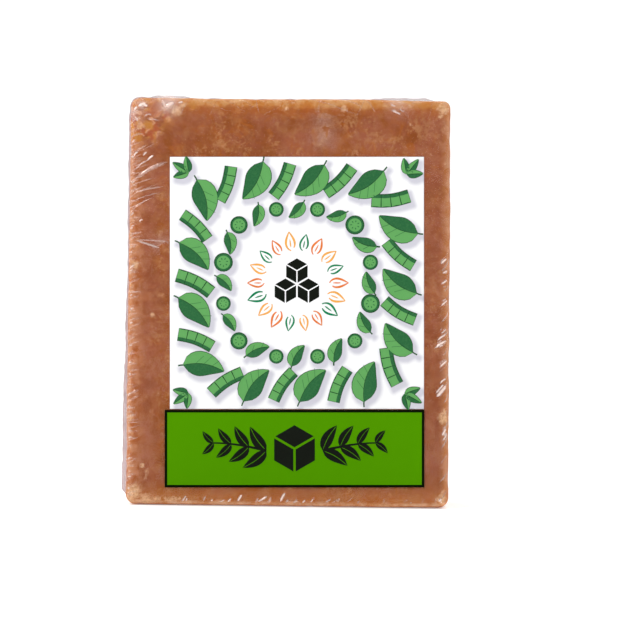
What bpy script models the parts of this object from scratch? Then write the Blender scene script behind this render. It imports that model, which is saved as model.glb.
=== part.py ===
"""A block of jaggery in tight clear film, with two flat labels on its front face.

It stands on its base as it does on a shelf: +Z is up, the labels face -Y, and the origin is the
middle of the base. Lengths are in metres. The wrapped block is one solid, out to the film.
"""

import math

import bmesh
import bpy
from mathutils import Vector, noise

# The block, over its film
BASE_WIDTH = 0.10125
TOP_WIDTH = 0.10015
LEFT_HEIGHT = 0.12735
RIGHT_HEIGHT = 0.1276
DEPTH = 0.0570
EDGE_RADIUS = 0.0024
CORNER_RADII = {  # (side, top or bottom): radius seen from the front
    ("left", "top"): 0.0032,
    ("right", "top"): 0.0025,
    ("left", "bottom"): 0.0032,
    ("right", "bottom"): 0.0034,
}
CORNER_REACH = 0.012  # how far along an edge a corner's own radius is felt

# The hand-cast faces
UNEVEN_HEIGHT = 0.00035
UNEVEN_SIZE = 0.026
BASE_MARGIN = 0.010  # the unevenness fades out this far above the base

# The film's welded seam, a low rib on the left side and the top
SEAM_SETBACK = 0.0080  # behind the front face
SEAM_HALF_WIDTH = 0.0010
SEAM_HEIGHT_FOOT = 0.0017  # low on the left side
SEAM_HEIGHT_TOP = 0.0006  # along the top, and where the left side meets it

# The film's gathers at the top left corner: (along the top, behind the front, reach, height)
GATHERS = (
    (0.0031, 0.0020, 0.0022, 0.0003),
    (0.0052, 0.0018, 0.0013, -0.0006),
    (0.0105, 0.0022, 0.0034, 0.0008),
    (0.0160, 0.0028, 0.0034, 0.0003),
)

# The mesh lines of the block
EDGE_LINES = (0.25, 0.62, 1.0, 1.7)  # in edge radii, from each side
WIDTH_CELLS = 15
DEPTH_CELLS = 7
HEIGHT_CELLS = 19

# The labels; their places are from the block's lower left corner, along and up a leaning frame
LEAN = math.radians(0.75)  # of the labels to the block's base
SQUARE_LEFT = 0.0140
SQUARE_WIDTH = 0.0794
SQUARE_HEIGHT = 0.0788  # as it shows above the band
BAND_LEFT = 0.0124
BAND_BOTTOM = 0.0053
BAND_WIDTH = 0.0811
BAND_HEIGHT = 0.0242
LABEL_THICKNESS = 0.0003
LABEL_CELLS = 12
GAP = 0.0003  # between pieces that touch


def smooth_step(low, high, value):
    share = min(1.0, max(0.0, (value - low) / (high - low)))
    return share * share * (3.0 - 2.0 * share)


def corner_radius(x, z):
    """The rounding at a point of the block's outline, which each corner sets near itself."""
    radius = EDGE_RADIUS
    for (side, end), own in CORNER_RADII.items():
        corner_x = BASE_WIDTH * (-0.5 if side == "left" else 0.5)
        corner_z = LEFT_HEIGHT if end == "top" else 0.0
        away = math.hypot(x - corner_x, z - corner_z) / CORNER_REACH
        radius += (own - EDGE_RADIUS) * math.exp(-away * away)
    return radius


def rounded(point, radius):
    """The point of the plain box moved onto its rounded edge, and the direction that faces out."""
    inner = Vector((
        min(max(point.x, -BASE_WIDTH / 2 + radius), BASE_WIDTH / 2 - radius),
        min(max(point.y, -DEPTH / 2 + radius), DEPTH / 2 - radius),
        min(max(point.z, radius), LEFT_HEIGHT - radius),
    ))
    outward = (point - inner).normalized()
    return inner + outward * radius, outward


def unevenness(point, outward):
    """How far the cast face stands in or out here."""
    height = noise.noise(point / UNEVEN_SIZE) + 0.4 * noise.noise(point * 2.3 / UNEVEN_SIZE)
    off_base = smooth_step(0.0, BASE_MARGIN, point.z)
    return UNEVEN_HEIGHT * height * off_base * (1.0 - max(0.0, -outward.z))


def seam(point, outward):
    """The rib of the film's seam, which stands highest low on the left side."""
    up = point.z / LEFT_HEIGHT
    on_left = SEAM_HEIGHT_FOOT + (SEAM_HEIGHT_TOP - SEAM_HEIGHT_FOOT) * smooth_step(0.2, 0.9, up)
    height = max(0.0, -outward.x) * on_left + max(0.0, outward.z) * SEAM_HEIGHT_TOP
    offset = (point.y + DEPTH / 2 - SEAM_SETBACK) / SEAM_HALF_WIDTH
    return height * smooth_step(0.0, BASE_MARGIN / 2, point.z) * math.exp(-offset * offset)


def gathers(point, outward):
    """The bunched film along the top edge, next to the top left corner."""
    total = 0.0
    for along, behind, reach, height in GATHERS:
        middle = Vector((along - BASE_WIDTH / 2, behind - DEPTH / 2, LEFT_HEIGHT))
        away = (point - middle).length / reach
        total += height * math.exp(-away * away)
    return total * max(0.0, outward.z)


def leant(point):
    """The point moved by the block's taper and by the slope of its top."""
    up = point.z / LEFT_HEIGHT
    across = point.x / BASE_WIDTH + 0.5
    width = BASE_WIDTH + (TOP_WIDTH - BASE_WIDTH) * up
    height = LEFT_HEIGHT + (RIGHT_HEIGHT - LEFT_HEIGHT) * across
    return Vector((across * width - BASE_WIDTH / 2, point.y, up * height))


def block_surface(point):
    """Where a point of the plain box lies on the wrapped block."""
    on_edge, outward = rounded(point, corner_radius(point.x, point.z))
    raised = unevenness(on_edge, outward) + seam(on_edge, outward) + gathers(on_edge, outward)
    return leant(on_edge + outward * raised)


def front_at(x, z):
    """The y of the wrapped block's front face behind a point of the front view."""
    return block_surface(Vector((x, -DEPTH / 2, z))).y


def mesh_lines(length, cells, extra=()):
    """Distances from one end at which a side of the box is divided."""
    near = [share * EDGE_RADIUS for share in EDGE_LINES]
    start = near[-1]
    step = (length - 2 * start) / cells
    even = [start + step * i for i in range(1, cells)]
    even = [d for d in even if all(abs(d - own) > step / 3 for own in extra)]
    return sorted(near + even + list(extra) + [length - d for d in near])


def divide(mesh, axis, low, lines):
    """Cuts the mesh across one axis at each of the lines."""
    normal = Vector((0.0, 0.0, 0.0))
    normal[axis] = 1.0
    for line in lines:
        geometry = mesh.verts[:] + mesh.edges[:] + mesh.faces[:]
        bmesh.ops.bisect_plane(mesh, geom=geometry, plane_co=normal * (low + line), plane_no=normal)


def principled(name, color, roughness):
    material = bpy.data.materials.new(name)
    material.use_nodes = True
    shader = material.node_tree.nodes["Principled BSDF"]
    shader.inputs["Base Color"].default_value = (*color, 1.0)
    shader.inputs["Roughness"].default_value = roughness
    shader.inputs["Metallic"].default_value = 0.0
    return material


def add_object(name, mesh, material, collection):
    data = bpy.data.meshes.new(name)
    mesh.to_mesh(data)
    mesh.free()
    data.materials.append(material)
    made = bpy.data.objects.new(name, data)
    collection.objects.link(made)
    return made


def wrapped_block(collection):
    """The block and its film as one solid, on a flat base."""
    mesh = bmesh.new()
    bmesh.ops.create_cube(mesh, size=1.0)
    size = Vector((BASE_WIDTH, DEPTH, LEFT_HEIGHT))
    bmesh.ops.scale(mesh, vec=size, verts=mesh.verts)
    bmesh.ops.translate(mesh, vec=(0.0, 0.0, LEFT_HEIGHT / 2), verts=mesh.verts)

    seam_lines = [SEAM_SETBACK + SEAM_HALF_WIDTH * share for share in (-1.8, -0.9, 0.0, 0.9, 1.8)]
    gather_lines = [along for along, _, _, _ in GATHERS]
    divide(mesh, 0, -BASE_WIDTH / 2, mesh_lines(BASE_WIDTH, WIDTH_CELLS, gather_lines[1:]))
    divide(mesh, 1, -DEPTH / 2, mesh_lines(DEPTH, DEPTH_CELLS, seam_lines))
    divide(mesh, 2, 0.0, mesh_lines(LEFT_HEIGHT, HEIGHT_CELLS))

    for vert in mesh.verts:
        vert.co = block_surface(vert.co.copy())
    bmesh.ops.recalc_face_normals(mesh, faces=mesh.faces)
    jaggery = principled("jaggery", (0.34, 0.115, 0.048), 0.45)
    made = add_object("wrapped_block", mesh, jaggery, collection)
    made.data.shade_smooth()
    return made


def label(name, left, bottom, width, height, material, collection):
    """A thin slab that follows the front face, turned by the labels' lean."""
    mesh = bmesh.new()
    bmesh.ops.create_cube(mesh, size=1.0)
    bmesh.ops.scale(mesh, vec=(width, LABEL_THICKNESS, height), verts=mesh.verts)
    bmesh.ops.translate(mesh, vec=(width / 2, 0.0, height / 2), verts=mesh.verts)
    divide(mesh, 0, 0.0, [width * i / LABEL_CELLS for i in range(1, LABEL_CELLS)])
    divide(mesh, 2, 0.0, [height * i / LABEL_CELLS for i in range(1, LABEL_CELLS)])

    for vert in mesh.verts:
        across = left + vert.co.x
        up = bottom + vert.co.z
        x = across * math.cos(LEAN) - up * math.sin(LEAN) - BASE_WIDTH / 2
        z = across * math.sin(LEAN) + up * math.cos(LEAN)
        depth_in_label = vert.co.y - LABEL_THICKNESS / 2
        vert.co = Vector((x, front_at(x, z) - GAP + depth_in_label, z))
    bmesh.ops.recalc_face_normals(mesh, faces=mesh.faces)
    return add_object(name, mesh, material, collection)


def centre_on_base(objects):
    """Moves the meshes so that the whole's box stands over the origin."""
    corners = [vert.co for made in objects for vert in made.data.vertices]
    middle_x = (min(c.x for c in corners) + max(c.x for c in corners)) / 2
    middle_y = (min(c.y for c in corners) + max(c.y for c in corners)) / 2
    for made in objects:
        for vert in made.data.vertices:
            vert.co -= Vector((middle_x, middle_y, 0.0))
        made.data.update()


def build():
    for old in list(bpy.data.objects):
        bpy.data.objects.remove(old, do_unlink=True)
    parts = bpy.data.collections.new("jaggery_block")
    bpy.context.scene.collection.children.link(parts)

    square_bottom = BAND_BOTTOM + BAND_HEIGHT + GAP
    paper = principled("label_paper", (0.95, 0.95, 0.95), 0.5)
    green = principled("band_green", (0.08, 0.27, 0.0), 0.5)
    made = [
        wrapped_block(parts),
        label("square_label", SQUARE_LEFT, square_bottom, SQUARE_WIDTH, SQUARE_HEIGHT, paper, parts),
        label("band_label", BAND_LEFT, BAND_BOTTOM, BAND_WIDTH, BAND_HEIGHT, green, parts),
    ]
    centre_on_base(made)


build()
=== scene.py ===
import math

import bpy
import numpy as np
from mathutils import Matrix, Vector, noise
from mathutils.bvhtree import BVHTree


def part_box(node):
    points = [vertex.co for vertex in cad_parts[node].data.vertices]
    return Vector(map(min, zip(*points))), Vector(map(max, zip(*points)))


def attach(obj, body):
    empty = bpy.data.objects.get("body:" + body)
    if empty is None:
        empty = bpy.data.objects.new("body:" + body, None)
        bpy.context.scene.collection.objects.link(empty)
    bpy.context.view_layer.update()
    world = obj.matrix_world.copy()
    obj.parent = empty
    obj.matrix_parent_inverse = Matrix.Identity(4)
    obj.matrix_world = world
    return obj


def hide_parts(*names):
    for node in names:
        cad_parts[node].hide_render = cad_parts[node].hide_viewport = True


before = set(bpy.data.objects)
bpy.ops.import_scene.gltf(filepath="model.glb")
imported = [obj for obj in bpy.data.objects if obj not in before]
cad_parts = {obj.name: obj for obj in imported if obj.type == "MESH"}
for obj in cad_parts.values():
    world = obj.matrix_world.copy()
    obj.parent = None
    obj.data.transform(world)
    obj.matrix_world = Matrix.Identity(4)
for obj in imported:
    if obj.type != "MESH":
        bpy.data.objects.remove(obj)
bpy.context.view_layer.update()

mm = 0.001  # lengths are in metres, and in millimetres where a table says so

# The wrapped block's form, repeated from the CAD
block = {
    "baseWidth": 0.10125,
    "topWidth": 0.10015,
    "leftHeight": 0.12735,
    "rightHeight": 0.1276,
    "depth": 0.0570,
    "edgeRadius": 0.0024,
    "cornerRadii": {(-1, 1): 0.0032, (1, 1): 0.0025, (-1, 0): 0.0032, (1, 0): 0.0034},  # (side, top)
    "cornerReach": 0.012,
    "unevenHeight": 0.00035,
    "unevenSize": 0.026,
    "finer": (2.3, 0.4),  # a second unevenness: times finer, and its share
    "baseMargin": 0.010,
    "ripple": 0.00014,  # of the worn edges
    "rippleSize": 0.0042,
}
labels = {
    "squareCorner": (0.0140, 0.0298),  # from the block's lower left corner, turned by the lean
    "squareSize": (0.0794, 0.0788),  # as it shows above the band
    "bandCorner": (0.0124, 0.0053),
    "bandSize": (0.0811, 0.0242),
}
lean = math.radians(0.75)  # of the labels to the block's base

# Where the CAD put the block: the square label's top left corner fixes X, the block's back fixes Y
backMargin = 0.0002
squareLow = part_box("square_label")[0]
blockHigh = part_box("wrapped_block")[1]
squareLeft, squareBottom = labels["squareCorner"]
squareTop = squareBottom + labels["squareSize"][1]
squareLeftX = squareLeft * math.cos(lean) - squareTop * math.sin(lean)
toFrame = np.array([
    squareLow.x - squareLeftX + block["baseWidth"] / 2,
    blockHigh.y - block["depth"] / 2 - backMargin,
    0.0,
])
halfSize = np.array([block["baseWidth"] / 2, block["depth"] / 2, 0.0])
boxLow = -halfSize
boxHigh = halfSize + np.array([0.0, 0.0, block["leftHeight"]])
boxWidth, boxHeight = (boxHigh - boxLow)[[0, 2]]


def smoothStep(low, high, value):
    share = np.clip((value - low) / (high - low), 0.0, 1.0)
    return share * share * (3.0 - 2.0 * share)


def stretch(value, start, full, fading, end):
    # 1 from full to fading, falling smoothly to nothing at start and end
    return smoothStep(start, full, value) * (1.0 - smoothStep(fading, end, value))


def evenLine(count):
    return np.linspace(0.0, 1.0, count)


def softNoise(points, size, seed=0):
    shift = Vector((seed * 17.31, seed * -9.73, seed * 5.57))
    scaled = (np.asarray(points) / size).tolist()
    return np.array([noise.noise(Vector(p) + shift) for p in scaled])


def nearness(points, centre, radius):
    # 1 at the centre, fading smoothly to nothing at about twice the radius
    return np.exp(-((np.linalg.norm(points - centre, axis=1) / radius) ** 2))


def roundedBox(points):
    # the plain box's points moved onto its rounded edges, and their outward directions
    radius = np.full(len(points), block["edgeRadius"])
    for (side, top), own in block["cornerRadii"].items():
        away = np.hypot(points[:, 0] - side * boxHigh[0], points[:, 2] - top * boxHigh[2])
        radius += (own - block["edgeRadius"]) * np.exp(-(away / block["cornerReach"]) ** 2)
    radius = radius[:, None]
    inner = np.clip(points, boxLow + radius, boxHigh - radius)
    outward = points - inner
    outward /= np.linalg.norm(outward, axis=1)[:, None]
    return inner + outward * radius, outward


def ontoBlock(points, outward, raised):
    # points of the rounded box, raised from it, with the cast unevenness, taper and sloping top
    finer, share = block["finer"]
    uneven = softNoise(points, block["unevenSize"]) + share * softNoise(points, block["unevenSize"] / finer)
    uneven *= smoothStep(0.0, block["baseMargin"], points[:, 2]) * (1.0 - np.clip(-outward[:, 2], 0.0, 1.0))
    ripple = block["ripple"] * softNoise(points, block["rippleSize"], 9) * (1.0 - np.abs(outward[:, 1]))
    moved = points + outward * (block["unevenHeight"] * uneven + ripple + raised)[:, None]
    up = moved[:, 2] / block["leftHeight"]
    across = moved[:, 0] / block["baseWidth"] + 0.5
    width = block["baseWidth"] + (block["topWidth"] - block["baseWidth"]) * up
    height = block["leftHeight"] + (block["rightHeight"] - block["leftHeight"]) * across
    placed = np.stack([across * width - block["baseWidth"] / 2, moved[:, 1], up * height], 1)
    return placed + toFrame


def quadsBetween(index):
    # the quads of a grid of point numbers
    return np.stack([index[:-1, :-1], index[1:, :-1], index[1:, 1:], index[:-1, 1:]], -1).reshape(-1, 4)


def latticeBox(lines):
    # the outer points of a box lattice, and the quads between them, facing outwards
    index = np.full([len(line) for line in lines], -1)
    shell = np.zeros(index.shape, bool)
    for axis in range(3):
        shell[tuple([0, -1] if i == axis else slice(None) for i in range(3))] = True
    index[shell] = np.arange(shell.sum())
    points = np.stack(np.meshgrid(*lines, indexing="ij"), -1)[shell]
    quads = []
    for axis in range(3):
        for end in (0, -1):
            quad = quadsBetween(np.take(index, end, axis=axis))
            quads.append(quad if (end == -1) != (axis == 1) else quad[:, ::-1])
    return points, np.concatenate(quads)


def blockShell(size):
    # the block's plain shell, with its divisions finer within "near" of the edges
    near, lines = size["near"], []
    for low, high in zip(boxLow, boxHigh):
        edge = np.linspace(0.0, near, max(2, round(near / size["fine"]) + 1))
        steps = max(2, round((high - low - 2 * near) / size["coarse"]) + 1)
        middle = np.linspace(near, high - low - near, steps)
        lines.append(low + np.concatenate([edge[:-1], middle, high - low - edge[::-1][1:]]))
    return latticeBox(lines)


def edgeDistances(points):
    # distance to the nearest edge of the plain box, for points on its faces
    return np.sort(np.minimum(points - boxLow, boxHigh - points), axis=1)[:, 1]


def sideDistances(points):
    # distance to the nearest edge of one side of the box: left, right, base and top
    gaps = np.concatenate([points - boxLow, boxHigh - points], axis=1)
    upright = gaps[:, [1, 2, 4, 5]].min(axis=1)
    level = gaps[:, [0, 1, 3, 4]].min(axis=1)
    return {
        "fromLeft": np.maximum(gaps[:, 0], upright),
        "fromRight": np.maximum(gaps[:, 3], upright),
        "fromBase": np.maximum(gaps[:, 2], level),
        "fromTop": np.maximum(gaps[:, 5], level),
    }


def spotted(points, spots, values):
    # the strongest of the spots on the front at every point, where it passes the given values;
    # a spot is (across, up, radius, strength), in millimetres from the block's lower left corner
    for across, up, radius, strength in spots:
        centre = boxLow + mm * np.array([across, 0.0, up])
        values = np.maximum(values, strength * nearness(points, centre, mm * radius))
    return values


def newObject(name, data):
    made = bpy.data.objects.new(name, data)
    bpy.context.scene.collection.objects.link(made)
    return made


def newMesh(name, points, edges=(), faces=()):
    mesh = bpy.data.meshes.new(name)
    mesh.from_pydata(np.asarray(points).tolist(), list(edges), np.asarray(faces).tolist())
    return mesh


def makeMesh(name, points, faces, material):
    mesh = newMesh(name, points, faces=faces)
    mesh.validate()
    mesh.materials.append(material)
    mesh.shade_smooth()
    return newObject(name, mesh)


def setAttribute(mesh, name, values, domain="POINT"):
    values = np.asarray(values, np.float32)
    kind, field = ("FLOAT", "value") if values.ndim == 1 else ("FLOAT_VECTOR", "vector")
    mesh.attributes.new(name, kind, domain).data.foreach_set(field, values.ravel())


def handIn(made, node):
    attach(made, "root")
    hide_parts(node)
    print(made.name + ":", len(made.data.polygons), "faces")


# Nodes, for shapes and for materials

def addNode(tree, kind, **settings):
    made = tree.nodes.new(kind)
    for key, value in settings.items():
        setattr(made, key, value)
    return made


def fillSocket(tree, socket, value):
    # a link from another node, or a plain value
    if isinstance(value, bpy.types.NodeSocket):
        tree.links.new(value, socket)
    else:
        socket.default_value = (*value, 1.0) if socket.type == "RGBA" else value


def fillNode(tree, node, given):
    for label, value in given.items():
        fillSocket(tree, next(s for s in node.inputs if s.enabled and s.name == label), value)


def joinNode(tree, kind, given, **settings):
    # a node with its inputs filled by name; its first output
    made = addNode(tree, kind, **settings)
    fillNode(tree, made, given)
    return next(s for s in made.outputs if s.enabled)


def mathNode(tree, operation, *values, kind="ShaderNodeMath", **settings):
    made = addNode(tree, kind, operation=operation, **settings)
    for socket, value in zip(made.inputs, values):
        fillSocket(tree, socket, value)
    return made.outputs[0]


def times(tree, first, second):
    return mathNode(tree, "MULTIPLY", first, second)


def timesPlus(tree, first, second, added, **settings):
    return mathNode(tree, "MULTIPLY_ADD", first, second, added, **settings)


def newNodes(name, inputs):
    # a Geometry Nodes tree with named inputs, as (label, kind of socket, value)
    tree = bpy.data.node_groups.new(name, "GeometryNodeTree")
    for label, kind, value in (("Geometry", "Geometry", None), *inputs, ("Material", "Material", None)):
        socket = tree.interface.new_socket(label, in_out="INPUT", socket_type="NodeSocket" + kind)
        if value is not None:
            socket.default_value = value
    tree.interface.new_socket("Geometry", in_out="OUTPUT", socket_type="NodeSocketGeometry")
    return tree, addNode(tree, "NodeGroupInput").outputs


def endNodes(tree, geometry, material):
    real = joinNode(tree, "GeometryNodeRealizeInstances", {"Geometry": geometry})
    painted = joinNode(tree, "GeometryNodeSetMaterial", {"Geometry": real, "Material": material})
    fillNode(tree, addNode(tree, "NodeGroupOutput"), {"Geometry": painted})
    return tree


def splitNode(tree, vector):
    return joinNode(tree, "ShaderNodeSeparateXYZ", {"Vector": vector}).node.outputs


def evenPoints(tree, curve, count):
    return joinNode(tree, "GeometryNodeResampleCurve", {"Curve": curve, "Count": count}, mode="COUNT")


def namedNode(tree, name, kind="FLOAT"):
    return joinNode(tree, "GeometryNodeInputNamedAttribute", {"Name": name}, data_type=kind)


def storeNode(tree, geometry, name, value):
    given = {"Geometry": geometry, "Name": name, "Value": value}
    return joinNode(tree, "GeometryNodeStoreNamedAttribute", given, data_type="FLOAT", domain="POINT")


def growPiece(name, guide, tree, values):
    # runs a tree on a guide mesh and keeps what it makes as a plain mesh
    made = newObject(name, guide)
    modifier = made.modifiers.new("nodes", "NODES")
    modifier.node_group = tree
    keys = {item.name: item.identifier for item in tree.interface.items_tree if item.in_out == "INPUT"}
    for label, value in values.items():
        modifier[keys[label]] = value
    grown = made.evaluated_get(bpy.context.evaluated_depsgraph_get())
    mesh = bpy.data.meshes.new_from_object(grown)
    made.modifiers.remove(modifier)
    made.data = mesh
    mesh.name = name
    return made


# Materials

def newMaterial(name):
    material = bpy.data.materials.new(name)
    material.use_nodes = True
    return material, material.node_tree, material.node_tree.nodes["Principled BSDF"]


def mixColor(tree, share, first, second, mode="MIX"):
    given = {"Factor": share, "A": first, "B": second}
    return joinNode(tree, "ShaderNodeMix", given, data_type="RGBA", blend_type=mode)


def layOver(tree, color, share, strength, tone):
    # a colour with another over it, by a share times a strength
    return mixColor(tree, times(tree, share, strength), color, tone)


def objectNode(tree):
    return addNode(tree, "ShaderNodeTexCoord").outputs["Object"]


def noiseNode(tree, size, detail, roughness, distortion=0.0, shift=(0.0, 0.0, 0.0)):
    # noise on the piece's own coordinates
    place = joinNode(tree, "ShaderNodeMapping", {"Vector": objectNode(tree), "Location": shift})
    return joinNode(tree, "ShaderNodeTexNoise", {
        "Vector": place, "Scale": 1.0 / size, "Detail": detail, "Roughness": roughness,
        "Distortion": distortion,
    })


def rampNode(tree, value, low, high):
    # 0 below low, 1 above high, smooth between
    given = {"Value": value, "From Min": low, "From Max": high}
    return joinNode(tree, "ShaderNodeMapRange", given, interpolation_type="SMOOTHSTEP", clamp=True)


def cloudNode(tree, low, high, *noiseValues):
    return rampNode(tree, noiseNode(tree, *noiseValues), low, high)


def attributeNode(tree, name):
    return addNode(tree, "ShaderNodeAttribute", attribute_name=name).outputs["Fac"]


def bumpNode(tree, height, distance, strength=1.0):
    return joinNode(tree, "ShaderNodeBump", {"Strength": strength, "Distance": distance, "Height": height})


jaggeryLook = {
    "brown": (0.284, 0.081, 0.020),
    # clouds over it: colour, strength, from, to, then size, detail, roughness, distortion, shift
    "clouds": (
        ((0.312, 0.097, 0.049), 1.00, (0.36, 0.60, 0.0080, 4.0, 0.65, 0.5)),
        ((0.222, 0.056, 0.014), 0.70, (0.42, 0.68, 0.0130, 4.0, 0.60, 0.5, (0.3, 0.1, 0.2))),
        ((0.385, 0.108, 0.019), 0.55, (0.50, 0.70, 0.0042, 4.0, 0.62, 0.8, (0.8, 0.6, 0.3))),
    ),
    # noises: size, detail, roughness, distortion, shift
    "noises": {
        "warp": (0.0009, 3.0, 0.6),
        "cluster": (0.0050, 3.0, 0.6, 0.0, (0.7, 0.2, 0.4)),
        "web": (0.0014, 5.0, 0.70, 0.7, (0.15, 0.35, 0.6)),
        "haze": (0.0034, 4.0, 0.65, 0.2),
        "waves": (0.0034, 4.0, 0.6, 0.3),
        "patches": (0.0030, 3.0, 0.6, 0.0, (0.5, 0.9, 0.1)),
        "rosy": (0.0026, 3.0, 0.6, 0.4),
        "beige": (0.0014, 4.0, 0.65),
        "speckle": (0.0012, 4.0, 0.7, 0.5),
        "grit": (0.0006, 2.0, 0.6),
    },
    # where the noises and grains begin to show and show fully
    "ramps": {
        "grains": (-0.26, -0.62),
        "web": (0.92, 1.10),
        "haze": (0.44, 0.74),
        "patches": (0.36, 0.62),
        "rosy": (0.40, 0.62),
        "beige": (0.36, 0.60),
    },
    "grainSize": 0.0015,
    "grainWarp": (0.0016, 0.0020, 0.0013),
    "clusterShares": (0.24, -1.1, 0.70),  # of "speckled", and in the grains and the web
    "speck": (0.500, 0.235, 0.100),
    "speckStrengths": (0.34, 0.46, 0.26),  # of grains, web and haze
    "lumpNoise": (3.0, 0.55, 0.6),
    "lumpRamp": (0.50, 0.60),
    # lumps at the crushed corner: colour and size
    "broken": (
        ((0.600, 0.290, 0.160), 0.0024),
        ((0.530, 0.215, 0.055), 0.0030),
        ((0.380, 0.092, 0.036), 0.0036),
    ),
    # spots: attribute, unevenness of its edge, how uneven, from, to, strength, two colours
    "spots": (
        ("clear", "waves", 1.2, 0.85, 1.25, 0.85, (0.480, 0.188, 0.040), (0.480, 0.188, 0.040)),
        ("rosy", "waves", 0.9, 0.72, 1.00, 0.90, (0.400, 0.125, 0.060), (0.500, 0.190, 0.085)),
        ("crust", "speckle", 0.9, 0.74, 1.16, 0.82, (0.520, 0.265, 0.125), (0.740, 0.470, 0.275)),
    ),
    "roughness": (0.47, 0.15),  # and how much more the haze adds
    "gloss": 0.08,
    "depth": (0.12, 0.0012),  # light under the surface: share, reach
    "depthColor": (1.0, 0.45, 0.2),
    "gritShade": (0.30, 0.85),
    "bump": (0.00016, 0.4, 0.6),  # height, with shares of grit and speckle
    # bands along the edges, painted light where the rounded edges catch the lamps and glow amber through the
    # sugar: side, reach from and to and waviness in millimetres, strength, two colours
    "litEdges": (
        ("fromLeft", 11.2, 7.0, 3.0, 0.44, (0.240, 0.066, 0.032), (0.372, 0.130, 0.078)),
        ("fromRight", 11.2, 7.0, 3.0, 0.34, (0.240, 0.068, 0.034), (0.360, 0.126, 0.074)),
        ("fromTop", 6.8, 2.4, 4.0, 0.55, (0.420, 0.110, 0.020), (0.440, 0.140, 0.034)),
        ("fromTop", 3.4, 1.8, 3.0, 0.84, (0.500, 0.180, 0.036), (0.590, 0.300, 0.115)),
        ("fromLeft", 6.6, 0.6, 2.4, 0.72, (0.440, 0.124, 0.034), (0.570, 0.262, 0.132)),
        ("fromLeft", 2.0, 0.2, 1.2, 0.40, (0.540, 0.220, 0.085), (0.620, 0.320, 0.180)),
        ("fromRight", 3.8, 0.0, 1.4, 0.66, (0.520, 0.200, 0.062), (0.590, 0.300, 0.160)),
        ("fromBase", 7.8, 0.6, 2.6, 0.62, (0.500, 0.150, 0.026), (0.540, 0.215, 0.070)),
        ("fromBase", 1.9, 0.4, 1.6, 0.80, (0.560, 0.245, 0.098), (0.690, 0.420, 0.265)),
    ),
}


def jaggeryMaterial():
    material, tree, shader = newMaterial("jaggerySugar")
    look = jaggeryLook
    noises = {name: noiseNode(tree, *values) for name, values in look["noises"].items()}
    ramps = {
        name: rampNode(tree, noises[name], *look["ramps"][name])
        for name in ("haze", "patches", "rosy", "beige")
    }
    color = look["brown"]
    for tone, strength, cloud in look["clouds"]:
        color = layOver(tree, color, cloudNode(tree, *cloud), strength, tone)

    # small light grains, in clusters
    bent = mathNode(tree, "MULTIPLY_ADD", noises["warp"], look["grainWarp"], objectNode(tree),
                    kind="ShaderNodeVectorMath")
    grains = joinNode(tree, "ShaderNodeTexVoronoi", {
        "Vector": bent, "Scale": 1.0 / look["grainSize"], "Smoothness": 0.30, "Randomness": 1.0,
    }, feature="SMOOTH_F1")
    speckled, inGrains, inWeb = look["clusterShares"]
    cluster = timesPlus(tree, attributeNode(tree, "speckled"), speckled, noises["cluster"])
    shares = (
        rampNode(tree, timesPlus(tree, cluster, inGrains, grains), *look["ramps"]["grains"]),
        rampNode(tree, timesPlus(tree, cluster, inWeb, noises["web"]), *look["ramps"]["web"]),
        ramps["haze"],
    )
    for share, strength in zip(shares, look["speckStrengths"]):
        color = layOver(tree, color, share, strength, look["speck"])

    swing = mathNode(tree, "SUBTRACT", noises["waves"], 0.5)
    # painted light: bands along the edges grow lighter and more amber where the rounded edges catch the lamps
    # and glow through the sugar
    for side, far, near, waviness, strength, deep, pale in look["litEdges"]:
        edge = timesPlus(tree, swing, mm * waviness, attributeNode(tree, side))
        litEdgeTone = mixColor(tree, ramps["patches"], deep, pale)
        color = layOver(tree, color, rampNode(tree, edge, mm * far, mm * near), strength, litEdgeTone)
    crushed = attributeNode(tree, "crushed")
    for order, (tone, size) in enumerate(look["broken"]):
        shift = (0.11 * order + 0.2, 0.4, 0.07 * order)
        lump = cloudNode(tree, *look["lumpRamp"], size, *look["lumpNoise"], shift)
        color = layOver(tree, color, lump, crushed, tone)
    insides = {"clear": 0.0, "rosy": ramps["rosy"], "crust": ramps["beige"]}
    for name, uneven, amount, low, high, strength, deep, pale in look["spots"]:
        edge = timesPlus(tree, noises[uneven], amount, attributeNode(tree, name))
        inside = mixColor(tree, insides[name], deep, pale)
        color = layOver(tree, color, rampNode(tree, edge, low, high), strength, inside)

    shade = timesPlus(tree, noises["grit"], *look["gritShade"])
    shade = joinNode(tree, "ShaderNodeCombineColor", {"Red": shade, "Green": shade, "Blue": shade})
    bump, gritShare, speckleShare = look["bump"]
    height = timesPlus(tree, noises["grit"], gritShare, times(tree, noises["speckle"], speckleShare))
    roughness, hazier = look["roughness"]
    depthShare, depthReach = look["depth"]
    fillNode(tree, shader, {
        "Base Color": mixColor(tree, 1.0, color, shade, "MULTIPLY"),
        "Roughness": timesPlus(tree, ramps["haze"], hazier, roughness),
        "Specular IOR Level": look["gloss"],
        "Subsurface Weight": depthShare,
        "Subsurface Radius": look["depthColor"],
        "Subsurface Scale": depthReach,
        "Normal": bumpNode(tree, height, bump, 0.6),
    })
    return material


filmLook = {
    # the veil's tint on the folds: warm, so that the painted highlights there mix pinkish with the brown
    # under them
    "clear": (1.00, 0.80, 0.72),
    # the seam's veil tint: darker, painted shade on the fin seen edge-on
    "seam": (0.62, 0.47, 0.48),
    "mirror": 0.014,  # seen squarely
    "slantMirror": 0.08,
    "foldMirror": 0.05,
    "roughness": 0.14,
    "wave": (0.0030, 3.0, 0.55, 0.5),  # size, detail, roughness, distortion
    "waveHeight": 0.00012,
}


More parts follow.
